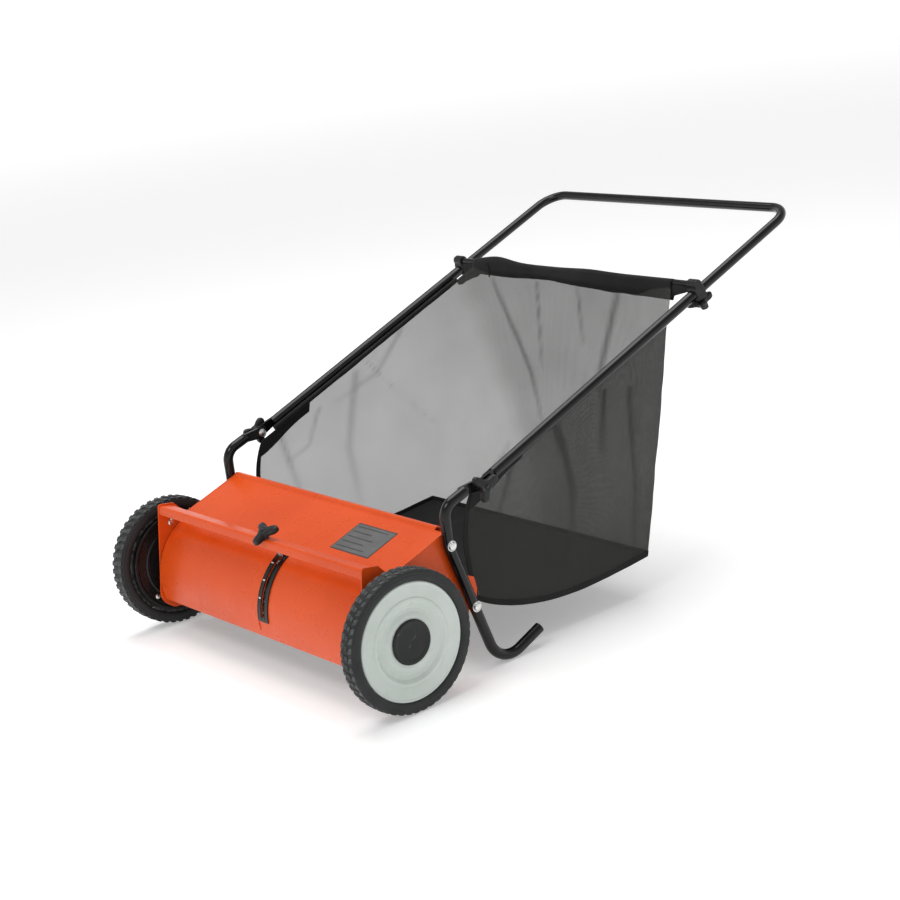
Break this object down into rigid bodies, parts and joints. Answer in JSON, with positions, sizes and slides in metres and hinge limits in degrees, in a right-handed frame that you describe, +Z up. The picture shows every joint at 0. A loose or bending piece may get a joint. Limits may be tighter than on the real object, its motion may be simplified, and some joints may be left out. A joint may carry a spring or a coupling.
{
  "type": "lawn sweeper",
  "caption": "Push lawn sweeper: sheet-steel housing with a geared brush between its wheels, swinging front cover, folding tube handle and see-through mesh hopper.",
  "frame": {"origin": "on the ground, under the middle of the whole machine in width and length", "axes": "+Z up, +Y from the brush housing towards the handle grip, +X to the machine right side, along the wheel axles"},
  "size_m": [0.647, 0.954, 0.5276],
  "materials": {
    "orange_paint": "gloss",
    "black_paint": "gloss",
    "black_plastic": "satin",
    "tyre_rubber": "matte",
    "zinc_plate": "bright",
    "pale_plastic": "satin",
    "mesh_fabric": "open mesh",
    "black_fabric": "woven",
    "bristle_nylon": "satin"
  },
  "bodies": {
    "housing": {"top_panel": "orange_paint", "front_tie_bar": "orange_paint", "rear_tie_rod": "zinc_plate", "front_bolt": "zinc_plate", "side_plate_left": "orange_paint", "stub_axle_left": "zinc_plate", "shaft_bearing_left": "black_plastic", "gear_cover_left": "black_plastic", "lower_tube_left": "black_paint", "tube_bolt_upper_left": "zinc_plate", "tube_bolt_lower_left": "zinc_plate", "fold_bolt_left": "zinc_plate", "hopper_bracket_left": "orange_paint", "side_plate_right": "orange_paint", "stub_axle_right": "zinc_plate", "shaft_bearing_right": "black_plastic", "gear_cover_right": "black_plastic", "lower_tube_right": "black_paint", "tube_bolt_upper_right": "zinc_plate", "tube_bolt_lower_right": "zinc_plate", "fold_bolt_right": "zinc_plate", "hopper_bracket_right": "orange_paint"},
    "wheel_left": {"tyre_left": "tyre_rubber", "rim_left": "black_plastic", "wheel_disc_left": "pale_plastic", "hub_cap_left": "black_plastic"},
    "wheel_right": {"tyre_right": "tyre_rubber", "rim_right": "black_plastic", "wheel_disc_right": "pale_plastic", "hub_cap_right": "black_plastic"},
    "brush": {"brush_shaft": "zinc_plate", "brush_core": "black_plastic", "bristle_row_1": "bristle_nylon", "bristle_row_2": "bristle_nylon", "bristle_row_3": "bristle_nylon", "bristle_row_4": "bristle_nylon", "pinion_left": "black_plastic"},
    "right_pinion": {"pinion_right": "black_plastic"},
    "cover": {"front_cover": "orange_paint", "slot_guide": "black_plastic", "cover_arm_left": "zinc_plate", "cover_arm_right": "zinc_plate"},
    "handle": {"handle_grip": "black_paint", "hopper_crossbar": "black_paint", "hopper_front_rod": "zinc_plate", "hopper_floor": "black_fabric", "hopper_rear": "mesh_fabric", "handle_bar_left": "black_paint", "upper_clamp_left": "black_plastic", "hopper_rod_left": "black_paint", "hopper_side_left": "mesh_fabric", "handle_bar_right": "black_paint", "upper_clamp_right": "black_plastic", "hopper_rod_right": "black_paint", "hopper_side_right": "mesh_fabric"},
    "front_knob": {"front_knob": "black_plastic"},
    "fold_knob_left": {"fold_knob_left": "black_plastic"},
    "fold_knob_right": {"fold_knob_right": "black_plastic"},
    "clamp_knob_left": {"clamp_knob_left": "black_plastic"},
    "clamp_knob_right": {"clamp_knob_right": "black_plastic"}
  },
  "joints": [
    {"name": "left_wheel_spin", "type": "hinge", "parent": "housing", "child": "wheel_left", "pos_m": [-0.3085, -0.37546, 0.10158], "axis": [1, 0, 0], "continuous": true},
    {"name": "right_wheel_spin", "type": "hinge", "parent": "housing", "child": "wheel_right", "pos_m": [0.3085, -0.37546, 0.10158], "axis": [1, 0, 0], "continuous": true},
    {"name": "brush_spin", "type": "hinge", "parent": "housing", "child": "brush", "pos_m": [0, -0.32578, 0.0846], "axis": [1, 0, 0], "continuous": true},
    {"name": "right_pinion_spin", "type": "hinge", "parent": "housing", "child": "right_pinion", "pos_m": [0.302, -0.32578, 0.0846], "axis": [1, 0, 0], "continuous": true},
    {"name": "front_cover_swing", "type": "hinge", "parent": "housing", "child": "cover", "pos_m": [0, -0.32578, 0.0846], "axis": [-1, 0, 0], "range_deg": [0, 50]},
    {"name": "handle_fold", "type": "hinge", "parent": "housing", "child": "handle", "pos_m": [0, -0.1971, 0.26596], "axis": [1, 0, 0], "range_deg": [0, 120]},
    {"name": "front_knob_turn", "type": "hinge", "parent": "housing", "child": "front_knob", "pos_m": [0.027, -0.40093, 0.21442], "axis": [0, -0.501, 0.8655], "continuous": true},
    {"name": "left_fold_knob_turn", "type": "hinge", "parent": "housing", "child": "fold_knob_left", "pos_m": [-0.29, -0.1971, 0.26596], "axis": [-1, 0, 0], "continuous": true},
    {"name": "right_fold_knob_turn", "type": "hinge", "parent": "housing", "child": "fold_knob_right", "pos_m": [0.29, -0.1971, 0.26596], "axis": [1, 0, 0], "continuous": true},
    {"name": "left_clamp_knob_turn", "type": "hinge", "parent": "handle", "child": "clamp_knob_left", "pos_m": [-0.2798, 0.25935, 0.42123], "axis": [0, 0.3562, -0.9344], "continuous": true},
    {"name": "right_clamp_knob_turn", "type": "hinge", "parent": "handle", "child": "clamp_knob_right", "pos_m": [0.2798, 0.25935, 0.42123], "axis": [0, 0.3562, -0.9344], "continuous": true}
  ],
  "couplings": [
    {"joint": "brush_spin", "follows": "left_wheel_spin", "ratio": 4},
    {"joint": "right_pinion_spin", "follows": "right_wheel_spin", "ratio": 4}
  ]
}
